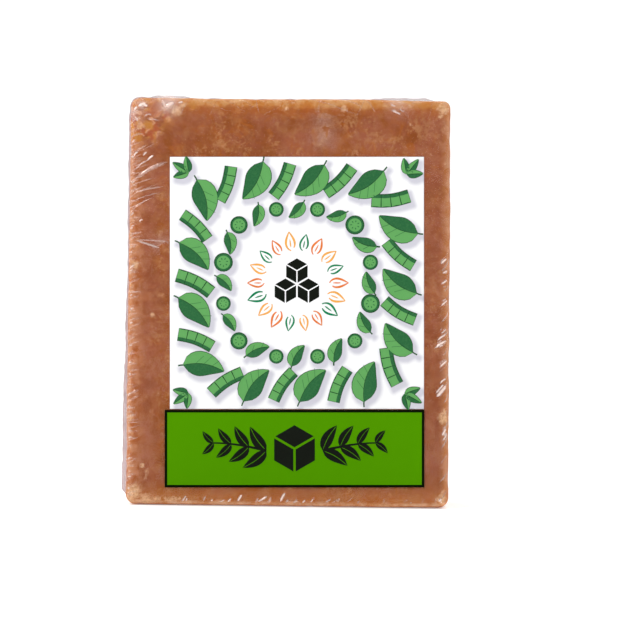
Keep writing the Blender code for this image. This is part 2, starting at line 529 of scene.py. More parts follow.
def filmMaterial(name, tint):
    # clear film: see-through, mirror-like at a slant, with a faint veil where it is gathered; on the folds
    # that veil, in the tint given, is partly painted highlight
    material, tree, shader = newMaterial(name)
    look = filmLook
    normal = bumpNode(tree, noiseNode(tree, *look["wave"]), look["waveHeight"])
    slant = addNode(tree, "ShaderNodeLayerWeight")  # the same from both sides of the film
    fillNode(tree, slant, {"Blend": 0.5, "Normal": normal})
    steep = mathNode(tree, "POWER", slant.outputs["Facing"], 5.0)
    gathered = attributeNode(tree, "gathered")
    mirror = timesPlus(tree, steep, look["slantMirror"], look["mirror"])
    mirror = timesPlus(tree, gathered, look["foldMirror"], mirror, use_clamp=True)
    rest = mathNode(tree, "SUBTRACT", 1.0, mirror)
    solid = timesPlus(tree, gathered, rest, mirror, use_clamp=True)
    some = mathNode(tree, "MAXIMUM", solid, 0.001)
    fillNode(tree, shader, {
        "Base Color": tint,
        "Roughness": look["roughness"],
        "Metallic": mathNode(tree, "DIVIDE", mirror, some, use_clamp=True),
        "Normal": normal,
    })
    clear = addNode(tree, "ShaderNodeBsdfTransparent").outputs[0]
    mix = addNode(tree, "ShaderNodeMixShader")
    for socket, value in zip(mix.inputs, (solid, clear, shader.outputs[0])):
        fillSocket(tree, socket, value)
    fillNode(tree, tree.nodes["Material Output"], {"Surface": mix.outputs[0]})
    return material


paperLook = {
    "white": (0.93, 0.93, 0.94),
    "printedShade": (0.60, 0.59, 0.66),
    "fibre": (0.80, 0.80, 0.82),
    "fibreNoise": (0.0009, 3.0, 0.6),
    "bump": 0.00001,
    "roughness": 0.48,
    "gloss": 0.3,
}
bandLook = {
    "green": (0.074, 0.280, 0.000),
    "lighterGreen": (0.082, 0.298, 0.000),
    "border": (0.003, 0.006, 0.001),
    "fibreNoise": (0.0008, 3.0, 0.6),
    "roughness": 0.55,
    "gloss": 0.01,
}
inkLook = {
    "speckNoise": (0.0005, 3.0, 0.7),
    "speckShade": 0.78,
    "bump": 0.000008,
    "roughness": 0.50,
    "gloss": 0.08,
}


def paperMaterial():
    material, tree, shader = newMaterial("labelPaper")
    look = paperLook
    fibre = noiseNode(tree, *look["fibreNoise"])
    shade = rampNode(tree, attributeNode(tree, "printedShade"), 0.0, 1.0)
    color = mixColor(tree, shade, look["white"], look["printedShade"])
    fillNode(tree, shader, {
        "Base Color": layOver(tree, color, fibre, 0.03, look["fibre"]),
        "Roughness": look["roughness"],
        "Specular IOR Level": look["gloss"],
        "Normal": bumpNode(tree, fibre, look["bump"], 0.5),
    })
    return material


def inkMaterial(name, tones):
    # flat ink in up to three tones, picked by the face attribute "tone"
    material, tree, shader = newMaterial(name)
    tone = attributeNode(tree, "tone")
    color = mixColor(tree, rampNode(tree, tone, 0.45, 0.55), tones[0], tones[1])
    color = mixColor(tree, rampNode(tree, tone, 1.45, 1.55), color, tones[2])
    speck = cloudNode(tree, 0.35, 0.75, *inkLook["speckNoise"])
    darker = tuple(inkLook["speckShade"] * c for c in tones[1])
    fillNode(tree, shader, {
        "Base Color": layOver(tree, color, speck, 0.22, darker),
        "Roughness": inkLook["roughness"],
        "Specular IOR Level": inkLook["gloss"],
        "Normal": bumpNode(tree, speck, inkLook["bump"], 0.5),
    })
    return material


def bandMaterial():
    material, tree, shader = newMaterial("bandPaper")
    look = bandLook
    fibre = noiseNode(tree, *look["fibreNoise"])
    color = layOver(tree, look["green"], fibre, 0.10, look["lighterGreen"])
    fillNode(tree, shader, {
        "Base Color": mixColor(tree, attributeNode(tree, "border"), color, look["border"]),
        "Roughness": look["roughness"],
        "Specular IOR Level": look["gloss"],
        "Normal": bumpNode(tree, fibre, paperLook["bump"], 0.5),
    })
    return material


# The jaggery

jaggery = {
    "seed": 11,
    "inset": 0.00004,  # under the film
    "near": 0.008,
    "fine": 0.00050,
    "coarse": 0.00092,
    "lumps": ((0.0080, 0.00010), (0.0030, 0.00006), (0.0013, 0.00003)),  # (size, height)
    "chipDepth": 0.0008,
    "chipSize": 0.0042,
    "chipAbove": 0.12,  # of the noise
    "chipped": (0.0004, 0.0022, 0.0030, 0.0052),  # how far from an edge chips start, deepen, fade and end
    "foot": (0.00005, 0.003),  # lowest point, and where the chips begin
    # spots on the front in millimetres, from the lower left corner: (across, up, radius, strength)
    "crusts": (
        (14.6, 123.2, 2.3, 0.78), (16.6, 124.7, 1.3, 0.70), (12.0, 121.2, 1.4, 0.55), (3.4, 118.2, 2.0, 0.58),
        (2.4, 120.4, 1.4, 0.55), (2.4, 4.0, 3.4, 0.85), (6.6, 1.5, 2.8, 0.75), (0.8, 1.4, 2.6, 0.85),
        (10.0, 1.7, 1.6, 0.85), (13.0, 1.8, 1.2, 0.80), (15.0, 1.9, 1.1, 0.78), (16.8, 2.0, 0.9, 0.70),
        (7.9, 59.3, 1.1, 0.75), (10.1, 35.2, 1.2, 0.55), (6.1, 33.6, 1.0, 0.45), (5.1, 12.1, 1.1, 0.75),
        (6.7, 10.4, 1.0, 0.65), (6.3, 8.5, 1.0, 0.60), (2.0, 74.8, 2.0, 0.74), (1.0, 68.3, 1.4, 0.65),
        (1.3, 27.2, 1.7, 0.58), (1.1, 18.7, 1.9, 0.52), (98.8, 124.6, 2.6, 0.70), (98.0, 122.5, 1.4, 0.60),
        (100.2, 127.6, 2.8, 0.70), (94.8, 109.9, 1.3, 0.42), (99.7, 107.6, 0.9, 0.55),
        (99.4, 28.0, 2.4, 0.78), (99.7, 29.9, 1.6, 0.60), (99.0, 2.8, 2.0, 0.88), (99.9, 5.0, 1.3, 0.66),
        # the last two spots on the next line, at 51.4 and 43.4 across, are painted highlights: glints of the
        # film on the top edge drawn as pale crust
        (49.2, 124.1, 1.1, 0.72), (67.6, 124.3, 1.4, 0.72), (51.4, 126.1, 0.7, 1.0), (43.4, 126.3, 0.6, 0.9),
        (35.6, 124.9, 2.0, 0.40), (79.3, 117.5, 0.9, 0.45), (88.2, 119.4, 1.0, 0.50), (79.9, 0.8, 1.8, 0.45),
    ),
    "clears": (
        (6.4, 118.7, 2.1, 0.80), (2.3, 114.9, 2.4, 0.75), (5.4, 114.7, 1.3, 0.45), (11.0, 118.1, 3.0, 0.30),
        (78.0, 126.4, 3.5, 0.55), (92.0, 126.7, 3.0, 0.55), (20.0, 125.2, 3.0, 0.50), (3.0, 81.0, 2.0, 0.45),
    ),
    "rosyLumps": ((8.0, 123.8, 2.3, 1.0), (5.2, 122.2, 1.4, 0.7)),
    "speckles": (
        (69.5, 119.3, 4.5, 1.0), (76.1, 115.3, 3.0, 1.0), (28.5, 115.8, 5.5, 0.9), (91.6, 117.9, 4.5, 0.9),
        (61.0, 114.5, 3.0, 0.8), (96.0, 62.5, 5.0, 0.7), (5.0, 40.0, 5.0, 0.7), (7.0, 53.0, 3.5, 0.7),
        (70.0, 3.5, 6.0, 0.5),
    ),
    # lumps of the crushed corner: (across, behind the front, up) and radius, in millimetres
    "crushed": (((3.0, 0.0, 119.0), 6.6), ((10.5, 0.0, 124.5), 4.6), ((0.0, 6.0, 120.0), 7.0)),
    # (across, up, radius, depth), in millimetres
    "dents": (
        (5.4, 124.0, 0.9, 0.45), (6.2, 120.8, 1.0, 0.45), (9.2, 120.8, 1.0, 0.45), (10.6, 122.6, 0.9, 0.45),
        (10.4, 125.0, 0.9, 0.40), (11.2, 119.3, 2.2, 0.30), (4.5, 115.0, 1.8, 0.40), (1.6, 118.8, 1.4, 0.40),
        (15.0, 121.6, 1.5, 0.35), (84.2, 124.3, 1.6, 0.40), (87.0, 122.3, 1.3, 0.30), (3.5, 6.0, 2.2, 0.40),
        (99.0, 4.0, 1.8, 0.35),
    ),
    "otherSpots": 46,  # on the sides, top and back
    "otherRadius": (0.0008, 0.0034),
    "otherStrength": (0.30, 0.75),
    "otherSpeckles": (0.55, 0.016),  # (strength, size)
    "frontDepth": 0.004,  # what counts as the front
    "crustPatches": ((0.350, 0.010), (0.245, 0.0036)),  # (strength, size)
    "crustEdge": (0.22, 0.0040),  # (strength, reach)
    "pits": 170,
    "pitRadius": (0.0004, 0.0011),
    "pitDepth": 0.00022,
}


def makeJaggery():
    rng = np.random.default_rng(jaggery["seed"])
    plain, quads = blockShell(jaggery)
    toEdge = edgeDistances(plain)
    points, outward = roundedBox(plain)
    nothing = np.zeros(len(points))

    raised = nothing - jaggery["inset"]
    for order, (size, height) in enumerate(jaggery["lumps"]):
        raised += height * softNoise(points, size, order + 1)
    lowest, chipsFrom = jaggery["foot"]
    chips = np.clip(softNoise(points, jaggery["chipSize"], 7) - jaggery["chipAbove"], 0.0, 1.0)
    chips *= stretch(toEdge, *jaggery["chipped"]) * smoothStep(0.0, chipsFrom, points[:, 2])
    raised -= jaggery["chipDepth"] * chips
    for centre in points[rng.choice(len(points), jaggery["pits"], replace=False)]:
        radius = rng.uniform(*jaggery["pitRadius"])
        raised -= jaggery["pitDepth"] * rng.uniform(0.5, 1.0) * nearness(points, centre, radius)
    for across, up, radius, depth in jaggery["dents"]:
        centre = boxLow + mm * np.array([across, 0.0, up])
        raised -= mm * depth * nearness(points, centre, mm * radius)
    placed = ontoBlock(points, outward, raised)
    placed[:, 2] = np.maximum(placed[:, 2], lowest)

    crushed = nothing
    for centre, radius in jaggery["crushed"]:
        near = nearness(points, boxLow + mm * np.array(centre), mm * radius)
        crushed = np.maximum(crushed, smoothStep(0.10, 0.55, near))
    behind = points[:, 1] - boxLow[1]
    strength, size = jaggery["otherSpeckles"]
    speckled = strength * smoothStep(0.05, 0.45, softNoise(points, size, 41))
    speckled *= smoothStep(0.0, jaggery["frontDepth"], behind)
    strength, reach = jaggery["crustEdge"]
    crust = strength * (1.0 - smoothStep(0.0, reach, toEdge))
    for order, (strength, size) in enumerate(jaggery["crustPatches"]):
        crust += strength * softNoise(points, size, order + 21)
    crust = spotted(points, jaggery["crusts"], np.clip(crust, 0.0, 0.45))
    loose = np.flatnonzero(behind > jaggery["frontDepth"])
    for centre in points[rng.choice(loose, jaggery["otherSpots"], replace=False)]:
        strength = rng.uniform(*jaggery["otherStrength"])
        crust = np.maximum(crust, strength * nearness(points, centre, rng.uniform(*jaggery["otherRadius"])))

    made = makeMesh("jaggery", placed, quads, jaggeryMaterial())
    attributes = {
        "clear": spotted(points, jaggery["clears"], nothing),
        "rosy": spotted(points, jaggery["rosyLumps"], nothing),
        "crushed": crushed,
        "speckled": spotted(points, jaggery["speckles"], speckled),
        "crust": np.clip(crust, 0.0, 1.0),
        **{name: np.minimum(distance, 0.012) for name, distance in sideDistances(plain).items()},
    }
    for name, values in attributes.items():
        setAttribute(made.data, name, values)
    handIn(made, "wrapped_block")


# The film

film = {
    "near": 0.010,
    "fine": 0.00070,
    "coarse": 0.00110,
    "waves": ((0.0060, 0.00006), (0.0024, 0.00003)),  # (size, height)
    "calmer": (0.8, 0.004, 0.012),  # away from the edges: share, from, to
    # where the film stands off the front, and painted glow round the glints at the top left corner, in
    # millimetres: (across, up, radius, haze)
    "hazesAndGlints": (
        (61.0, 120.6, 3.4, 0.10), (61.0, 115.5, 3.8, 0.11), (10.5, 81.4, 2.4, 0.14), (2.4, 123.6, 2.6, 0.16),
        (11.9, 125.5, 3.0, 0.46), (11.0, 124.1, 1.8, 0.26), (3.6, 124.9, 1.6, 0.40), (0.6, 122.8, 2.0, 0.40),
        (85.0, 127.0, 4.0, 0.20),
    ),
    # along the top from the left, behind the front, reach and height, in millimetres
    "gathers": ((3.1, 2.0, 2.2, 0.3), (5.2, 1.8, 1.3, -0.6), (10.5, 2.2, 3.4, 0.8), (16.0, 2.8, 3.4, 0.3)),
}


def filmRaise(points, outward):
    raised = np.zeros(len(points))
    for along, behind, reach, height in film["gathers"]:
        centre = boxLow + [mm * along, mm * behind, boxHeight]
        raised += mm * height * nearness(points, centre, mm * reach)
    return raised * np.clip(outward[:, 2], 0.0, 1.0)


def makeFilm(material):
    plain, quads = blockShell(film)
    points, outward = roundedBox(plain)
    raised = filmRaise(points, outward)
    share, start, end = film["calmer"]
    calmer = 1.0 - share * smoothStep(start, end, edgeDistances(plain))
    for order, (size, height) in enumerate(film["waves"]):
        raised += height * softNoise(points, size, order + 31) * calmer
    placed = ontoBlock(points, outward, raised)
    placed[:, 2] = np.maximum(placed[:, 2], 0.0)
    made = makeMesh("film", placed, quads, material)
    setAttribute(made.data, "gathered", spotted(points, film["hazesAndGlints"], np.zeros(len(points))))
    handIn(made, "wrapped_block")


# Folds and gathers of the film

folds = {
    "seed": 5,
    "sides": 9,
    "rise": 0.42,  # height over half width
    "sink": 0.00003,
    "points": 30,
    "spacing": 0.00022,  # of the points that stay, between the fewest and the most
    "fewest": 15,
    "most": 26,
    "scatter": 0.4,  # of the even spacing along an edge
    "bow": (-0.06, 0.10),  # over the length
    # sets along the block's edges, in millimetres: (axis, sides, count, along range, slant in degrees,
    # reach before the edge, reach past it, half width range, veil range). The veil is partly the milky haze
    # of gathered film and partly painted highlight, most in the second set. Past an upright edge is the
    # front or back face, past a level one is the top or base.
    "sets": (
        (2, (-1, -1), 112, (3, 122), (2, 24), (0.8, 3.0), (1.8, 4.8), (0.26, 0.50), (0.05, 0.23)),
        (2, (-1, -1), 24, (4, 112), (0, 30), (0.0, 0.6), (1.0, 2.2), (0.22, 0.40), (0.55, 0.95)),
        (2, (-1, -1), 18, (92, 112), (16, 34), (2.0, 6.0), (4.0, 11.0), (0.12, 0.28), (0.08, 0.28)),
        (2, (-1, -1), 40, (3, 122), (-20, 20), (4.0, 12.0), (0.0, 0.8), (0.18, 0.40), (0.06, 0.30)),
        (2, (1, -1), 22, (6, 80), (-54, -36), (0.2, 1.6), (1.2, 3.6), (0.12, 0.28), (0.12, 0.50)),
        (0, (-1, 0), 15, (16, 60), (-62, -18), (1.8, 3.2), (-1.4, -0.8), (0.28, 0.52), (0.30, 1.00)),
        (0, (-1, 0), 12, (50, 96), (-60, -10), (1.8, 3.4), (-1.6, -0.8), (0.22, 0.40), (0.10, 0.48)),
        (0, (-1, 1), 22, (4, 98), (-70, 70), (2.0, 7.0), (0.6, 2.6), (0.14, 0.30), (0.03, 0.18)),
        (2, (-1, 1), 46, (4, 122), (-30, 30), (2.0, 9.0), (1.0, 6.0), (0.18, 0.44), (0.05, 0.26)),
        (2, (1, 1), 46, (4, 122), (-50, 50), (1.0, 6.0), (1.0, 5.0), (0.18, 0.44), (0.05, 0.28)),
        (0, (1, 1), 30, (4, 98), (-60, 60), (1.0, 6.0), (1.0, 5.0), (0.18, 0.40), (0.05, 0.24)),
        (0, (1, 0), 24, (6, 96), (-50, 50), (1.8, 4.2), (-1.4, -0.4), (0.16, 0.30), (0.10, 0.50)),
        (1, (-1, 1), 18, (4, 54), (-60, 60), (1.0, 6.0), (1.0, 6.0), (0.18, 0.40), (0.05, 0.26)),
        (1, (1, 1), 18, (4, 54), (-60, 60), (1.0, 6.0), (1.0, 6.0), (0.18, 0.40), (0.05, 0.26)),
        (1, (-1, 0), 14, (4, 54), (-50, 50), (1.8, 4.2), (-1.4, -0.4), (0.16, 0.30), (0.10, 0.50)),
        (1, (1, 0), 14, (4, 54), (-50, 50), (1.8, 4.2), (-1.4, -0.4), (0.16, 0.30), (0.10, 0.50)),
    ),
    # thinner folds beside each of the next ones by the right edge
    "echoes": 2,
    "echoShift": (0.00045, 0.0012),
    "echoCurl": (-0.0003, 0.0003),
    "echoWidth": 0.6,
    "echoVeil": (0.3, 0.9),
    "echoPoints": 8,  # the fewest
    # single folds on the front, in millimetres from the lower left corner: (start, end, bow, half width,
    # veil). A strong veil is a painted highlight where the film catches the light: on the right edge, the
    # foot and the top left corner.
    "front": (
        ((0.9, 108.8), (2.7, 110.2), 0.2, 0.36, 0.85),
        ((4.1, 108.9), (5.5, 110.2), 0.2, 0.36, 0.75),
        ((5.4, 107.4), (7.6, 109.2), 0.2, 0.42, 0.90),
        ((1.2, 104.2), (6.2, 107.9), 0.4, 0.34, 0.35),
        ((0.8, 101.0), (12.4, 107.4), 0.7, 0.85, 0.28),
        ((1.2, 97.1), (11.1, 99.5), 0.4, 0.40, 0.26),
        ((3.1, 88.3), (4.5, 89.2), 0.1, 0.50, 0.40),
        ((1.9, 82.7), (10.4, 80.1), 0.0, 0.50, 0.46),
        ((1.9, 82.7), (13.1, 82.1), 0.2, 0.34, 0.30),
        # the right edge
        ((98.2, 76.1), (100.5, 78.0), 0.2, 0.54, 0.84),
        ((98.8, 73.3), (100.9, 74.2), 0.1, 0.48, 0.76),
        ((98.4, 69.9), (100.8, 71.3), 0.1, 0.48, 0.76),
        ((98.3, 63.0), (101.2, 65.0), 0.3, 0.46, 0.78),
        ((98.4, 54.4), (100.5, 56.2), 0.0, 0.40, 0.62),
        ((96.4, 49.8), (100.6, 52.6), 0.2, 0.56, 0.84),
        ((97.2, 52.2), (100.3, 54.5), 0.2, 0.48, 0.76),
        ((98.0, 43.8), (101.1, 46.2), 0.4, 0.54, 0.80),
        ((97.0, 34.6), (100.5, 38.8), -0.2, 0.80, 0.88),
        ((98.1, 38.7), (100.5, 40.2), 0.6, 0.46, 0.74),
        ((98.9, 22.6), (100.4, 25.2), 0.0, 0.60, 0.86),
        ((99.1, 21.1), (101.0, 23.6), -0.1, 0.48, 0.76),
        ((98.0, 2.0), (99.0, 3.0), 0.1, 0.70, 0.80),
        # the foot
        ((35.1, 1.3), (36.5, 3.5), 0.1, 0.54, 1.00),
        ((48.4, 1.3), (50.0, 4.3), 0.2, 0.56, 1.00),
        # the crumpled top left corner, and the creases near the top right one
        ((2.4, 124.3), (5.1, 125.3), 0.3, 0.72, 1.00),
        ((3.6, 125.5), (5.6, 124.6), -0.2, 0.60, 0.95),
        ((1.0, 123.3), (2.2, 124.4), 0.1, 0.55, 0.95),
        ((10.8, 124.1), (14.0, 125.7), 0.3, 0.88, 0.80),
        ((15.0, 125.6), (16.7, 126.0), 0.1, 0.50, 0.75),
        ((9.9, 126.7), (10.9, 124.6), 0.2, 0.65, 0.55),
        ((4.4, 121.1), (6.9, 121.7), 0.6, 0.34, 0.45),
        ((1.4, 121.4), (2.5, 119.7), 0.0, 0.50, 0.50),
        ((5.1, 120.5), (9.5, 120.0), 0.2, 0.34, 0.35),
        ((82.4, 124.1), (85.7, 122.7), 0.0, 0.44, 0.60),
        ((82.1, 125.8), (84.0, 125.3), 0.0, 0.36, 0.50),
        ((84.9, 124.6), (86.5, 123.5), 0.0, 0.30, 0.45),
    ),
}


def acrossEdge(axis, sides, along, across):
    # plain box points by their distance along one edge, and across it from one face round to the other
    others = [i for i in range(3) if i != axis]
    points = np.zeros((len(along), 3))
    points[:, axis] = boxLow[axis] + along
    inward = (np.maximum(across, 0.0), np.maximum(-across, 0.0))
    for other, side, distance in zip(others, sides, inward):
        points[:, other] = boxHigh[other] - distance if side > 0 else boxLow[other] + distance
    return np.clip(points, boxLow, boxHigh)


def layFold(plain, girth, veil):
    # one fold's centre line laid on the film, thinning to nothing at both ends
    points, outward = roundedBox(plain)
    taper = np.minimum(1.0, 1.5 * np.sin(np.pi * evenLine(len(plain)))) ** 0.8 + 0.002
    line = {
        "points": ontoBlock(points, outward, filmRaise(points, outward) - folds["sink"]),
        "outward": outward,
        "girth": girth * taper,
        "veil": veil * taper,
    }
    length = np.linalg.norm(np.diff(line["points"], axis=0), axis=1).sum()
    most = min(folds["most"], len(plain))
    kept = int(np.clip(length / folds["spacing"], min(folds["fewest"], most), most))
    chosen = np.linspace(0, len(plain) - 1, kept).round().astype(int)
    return {label: values[chosen] for label, values in line.items()}


def makeFoldLines():
    rng = np.random.default_rng(folds["seed"])
    share = evenLine(folds["points"])
    arch = np.sin(np.pi * share)
    lines = []
    for axis, sides, count, span, slant, before, past, girth, veil in folds["sets"]:
        scatter = folds["scatter"] * (span[1] - span[0]) / count
        for place in np.linspace(*span, count) + rng.normal(0.0, scatter, count):
            turn = math.radians(rng.uniform(*slant))
            start = -rng.uniform(*before)
            end = rng.uniform(*past)
            across = start + (end - start) * share
            along = place + across * math.tan(turn) + rng.uniform(*folds["bow"]) * (end - start) * arch
            plain = acrossEdge(axis, sides, mm * along, mm * across)
            lines.append(layFold(plain, mm * rng.uniform(*girth), rng.uniform(*veil)))
    for start, end, bow, girth, veil in folds["front"]:
        across, along = mm * (np.array(start)[:, None] + np.outer(np.subtract(end, start), share))
        along += mm * bow * arch
        side = -1
        if across[0] > boxWidth / 2:
            side, across = 1, boxWidth - across
        lines.append(layFold(acrossEdge(2, (side, -1), along, across), mm * girth, veil))
        for _ in range(folds["echoes"] if side > 0 else 0):
            shift = rng.uniform(*folds["echoShift"]) * rng.choice([-1.0, 1.0])
            shorter = slice(*sorted(rng.choice(np.arange(2, folds["points"] - 2, 6), 2, replace=False)))
            if shorter.stop - shorter.start < folds["echoPoints"]:
                continue
            curl = along[shorter] + shift + rng.uniform(*folds["echoCurl"]) * share[shorter]
            plain = acrossEdge(2, (side, -1), curl, across[shorter] + 0.5 * shift)
            echoGirth = folds["echoWidth"] * mm * girth
            lines.append(layFold(plain, echoGirth, rng.uniform(*folds["echoVeil"]) * veil))
    return lines


def guideMesh(name, lines):
    edges = []
    first = 0
    for line in lines:
        last = first + len(line["points"])
        edges += [(i, i + 1) for i in range(first, last - 1)]
        first = last
    joined = {label: np.concatenate([line[label] for line in lines]) for label in lines[0]}
    mesh = newMesh(name, joined.pop("points"), edges)
    for label, values in joined.items():
        setAttribute(mesh, label, values)
    return mesh


def filmSweepNodes():
    # a rounded ridge along every guide line, standing on the side its outward attribute points to
    tree, given = newNodes("filmSweep", (
        ("Rise", "Float", 0.4),
        ("Sides", "Int", 9),
        ("Foot Veil", "Float", 0.0),
    ))
    curve = joinNode(tree, "GeometryNodeMeshToCurve", {"Mesh": given["Geometry"]})
    outward = namedNode(tree, "outward", "FLOAT_VECTOR")
    curve = joinNode(tree, "GeometryNodeSetCurveNormal", {"Curve": curve, "Normal": outward}, mode="FREE")

    base = joinNode(tree, "GeometryNodeCurvePrimitiveLine", {"Start": (0, -1, 0), "End": (0, 1, 0)})
    profile = evenPoints(tree, base, given["Sides"])
    side = splitNode(tree, joinNode(tree, "GeometryNodeInputPosition", {}))["Y"]
    bell = mathNode(tree, "COSINE", times(tree, side, math.pi))
    crest = timesPlus(tree, bell, 0.5, 0.5)
    profile = storeNode(tree, profile, "crest", crest)
    offset = joinNode(tree, "ShaderNodeCombineXYZ", {"X": times(tree, crest, given["Rise"])})
    profile = joinNode(tree, "GeometryNodeSetPosition", {"Geometry": profile, "Offset": offset})
    profile = joinNode(tree, "GeometryNodeSetSplineCyclic", {"Geometry": profile, "Cyclic": True})

    swept = joinNode(tree, "GeometryNodeCurveToMesh", {
        "Curve": curve, "Profile Curve": profile, "Scale": namedNode(tree, "girth"), "Fill Caps": True,
    })
    top = mathNode(tree, "MAXIMUM", namedNode(tree, "crest"), given["Foot Veil"])
    # the veil along each crest: milky gathered film, and painted highlight where the veil is strong
    swept = storeNode(tree, swept, "gathered", times(tree, namedNode(tree, "veil"), top))
    return endNodes(tree, swept, given["Material"])


def sweepFilm(name, lines, tree, values):
    made = growPiece(name, guideMesh(name + "Guide", lines), tree, values)
    made.data.shade_smooth()
    made.data.set_sharp_from_angle(angle=math.radians(70.0))
    handIn(made, "wrapped_block")


def makeFolds(tree, material):
    values = {"Rise": folds["rise"], "Sides": folds["sides"], "Material": material}
    sweepFilm("filmFolds", makeFoldLines(), tree, values)


# The seam's fin, down the left side and along the top

seam = {
    "setback": 0.0080,
    "points": 420,
    "start": (0.002, 0.003),  # above the base, and short of the right side
    "halfWidth": 0.00007,
    "rise": 13.0,
    "sink": 0.00005,
    "wobble": (0.0004, 0.006),  # (depth, size)
    "ruffle": (0.25, 0.0022),
    "height": 0.40,  # in half widths
    "sideHeight": 0.50,  # more down the side
    "sideEnd": (0.001, 0.008),  # past the corner
    "footHeight": 1.00,
    "footEnd": (0.020, 0.070),  # above the base
    # more along the top, past the corner: height, and where it starts, is full, fades and ends
    "topHeights": ((0.85, 0.074, 0.083, 0.093, 0.097), (0.70, 0.004, 0.009, 0.016, 0.022)),
    "endTaper": 0.003,
    "veil": (0.62, 0.34),  # down the side, along the top, in the seam's darker tint: painted shade on the fin
}


def makeSeam(tree, material):
    foot, end = seam["start"]
    side = boxHeight - foot
    top = boxWidth - end
    run = np.linspace(0.0, side + top, seam["points"])
    zero = np.zeros(len(run))
    straight = np.stack([run, zero, zero], 1)
    onSide = run < side
    wobble, wobbleSize = seam["wobble"]
    plain = np.stack([
        np.where(onSide, boxLow[0], boxLow[0] + run - side),
        boxLow[1] + seam["setback"] + wobble * softNoise(straight, wobbleSize, 3),
        np.where(onSide, run + foot, boxHeight),
    ], 1)
    points, outward = roundedBox(plain)
    upright = 1.0 - smoothStep(*seam["sideEnd"], run - side)
    ruffle, ruffleSize = seam["ruffle"]
    height = seam["height"] + seam["sideHeight"] * upright + ruffle * softNoise(straight, ruffleSize, 5)
    height += seam["footHeight"] * (1.0 - smoothStep(*seam["footEnd"], run))
    for more, *reach in seam["topHeights"]:
        height += more * stretch(run - side, *reach)
    ends = stretch(run, 0.0, seam["endTaper"], run[-1] - seam["endTaper"], run[-1])
    sideVeil, topVeil = seam["veil"]
    line = {
        "points": ontoBlock(points, outward, zero - seam["sink"]),
        "outward": outward,
        "girth": seam["halfWidth"] * height * ends + 1e-7,
        "veil": topVeil + (sideVeil - topVeil) * upright,
    }
    values = {"Rise": seam["rise"], "Foot Veil": 1.0, "Material": material}
    sweepFilm("filmSeam", [line], tree, values)


# Labels

paper = {
    "lift": 0.00006,  # glue
    "thickness": 0.00012,
    "squareCell": 0.00045,
    "bandCell": 0.0016,
    "bandBorder": 0.0008,
    "bandStep": 1.2,  # thicknesses of the band above the square label
    "shadeShift": (0.0008, -0.0011),  # of the printed shadow under the leaves
    "shadeReach": 0.0022,
}
squareLift = paper["lift"] + paper["thickness"]
bandLift = squareLift + paper["bandStep"] * paper["thickness"]


def ontoFront(flat, raised):
    # label-frame points (across, up) laid on the block's front, raised from the film
    across, up = flat[:, 0], flat[:, 1]
    x = across * math.cos(lean) - up * math.sin(lean) + boxLow[0]
    z = across * math.sin(lean) + up * math.cos(lean)
    front = np.stack([x, np.full(len(x), boxLow[1]), z], 1)
    outward = np.tile([0.0, -1.0, 0.0], (len(x), 1))
    y = ontoBlock(front, outward, raised)[:, 1]
    return np.stack([x + toFrame[0], y, z], 1)


def flatSheet(xs, ys):
    points = np.stack(np.meshgrid(xs, ys, indexing="ij"), -1).reshape(-1, 2)
    return points, quadsBetween(np.arange(len(points)).reshape(len(xs), len(ys)))


def addThickness(made, thickness):
    solid = made.modifiers.new("thickness", "SOLIDIFY")
    solid.thickness = thickness
    solid.offset = -1.0
    solid.use_rim = True


def makeLabel(name, flat, quads, corner, lift, material):
    points = ontoFront(flat + corner, np.full(len(flat), lift))
    made = makeMesh(name, points, quads, material)
    addThickness(made, paper["thickness"])
    return made


def makeSquareLabel(prints):
    corners, faces = [], []
    for printed in prints:
        if printed.name.startswith(("rays", "labelCubes")):
            continue
        start = len(corners)
        corners += [(v.co.x, v.co.y, 0.0) for v in printed.data.vertices]
        faces += [[start + i for i in p.vertices] for p in printed.data.polygons]
    tree = BVHTree.FromPolygons(corners, faces)
    lines = [np.linspace(0.0, size, round(size / paper["squareCell"]) + 1) for size in labels["squareSize"]]
    flat, quads = flatSheet(*lines)
    shiftX, shiftY = paper["shadeShift"]
    reach = paper["shadeReach"]
    shade = []
    for x, y in flat:
        away = tree.find_nearest((x - shiftX, y - shiftY, 0.0), reach * 1.5)[3]
        away = 1.0 if away is None else min(1.0, away / reach)
        shade.append((1.0 - away) ** 1.6)
    made = makeLabel("squareLabel", flat, quads, labels["squareCorner"], squareLift, paperMaterial())
    setAttribute(made.data, "printedShade", shade)
    handIn(made, "square_label")


def makeBandLabel():
    border = paper["bandBorder"]
    lines = []
    for length in labels["bandSize"]:
        inner = np.linspace(border, length - border, round(length / paper["bandCell"]))
        lines.append(np.concatenate([[0.0], inner, [length]]))
    flat, quads = flatSheet(*lines)
    half = np.array(labels["bandSize"]) / 2
    inside = (np.abs(flat[quads].mean(axis=1) - half) < half - border).all(axis=1)
    made = makeLabel("bandLabel", flat, quads, labels["bandCorner"], bandLift, bandMaterial())
    setAttribute(made.data, "border", ~inside, "FACE")
    handIn(made, "band_label")


# Printed motifs: flat strips of ink on the labels

ink = {
    "lift": 0.000010,
    "level": 0.000016,  # between one colour and the next on it
    "thickness": 0.000008,
    "leafGreens": ((0.012, 0.062, 0.022), (0.122, 0.375, 0.108), (0.020, 0.122, 0.042)),  # line, light, dark
    "rayColors": ((0.800, 0.190, 0.030), (0.002, 0.220, 0.085), (0.900, 0.410, 0.075)),
    "dark": (0.004, 0.006, 0.003),
    # half widths of the lines
    "outline": 0.00018,
    "leafOutline": 0.00022,
    "stem": 0.00022,
    "rib": 0.00011,
    "vein": 0.00006,
    "leafTip": 0.00003,
    "ray": (0.00005, 0.00027),  # at its ends, and more in its middle
    "innerRay": (0.00006, 0.00020, 0.00020, 0.00016, 0.00004),
}


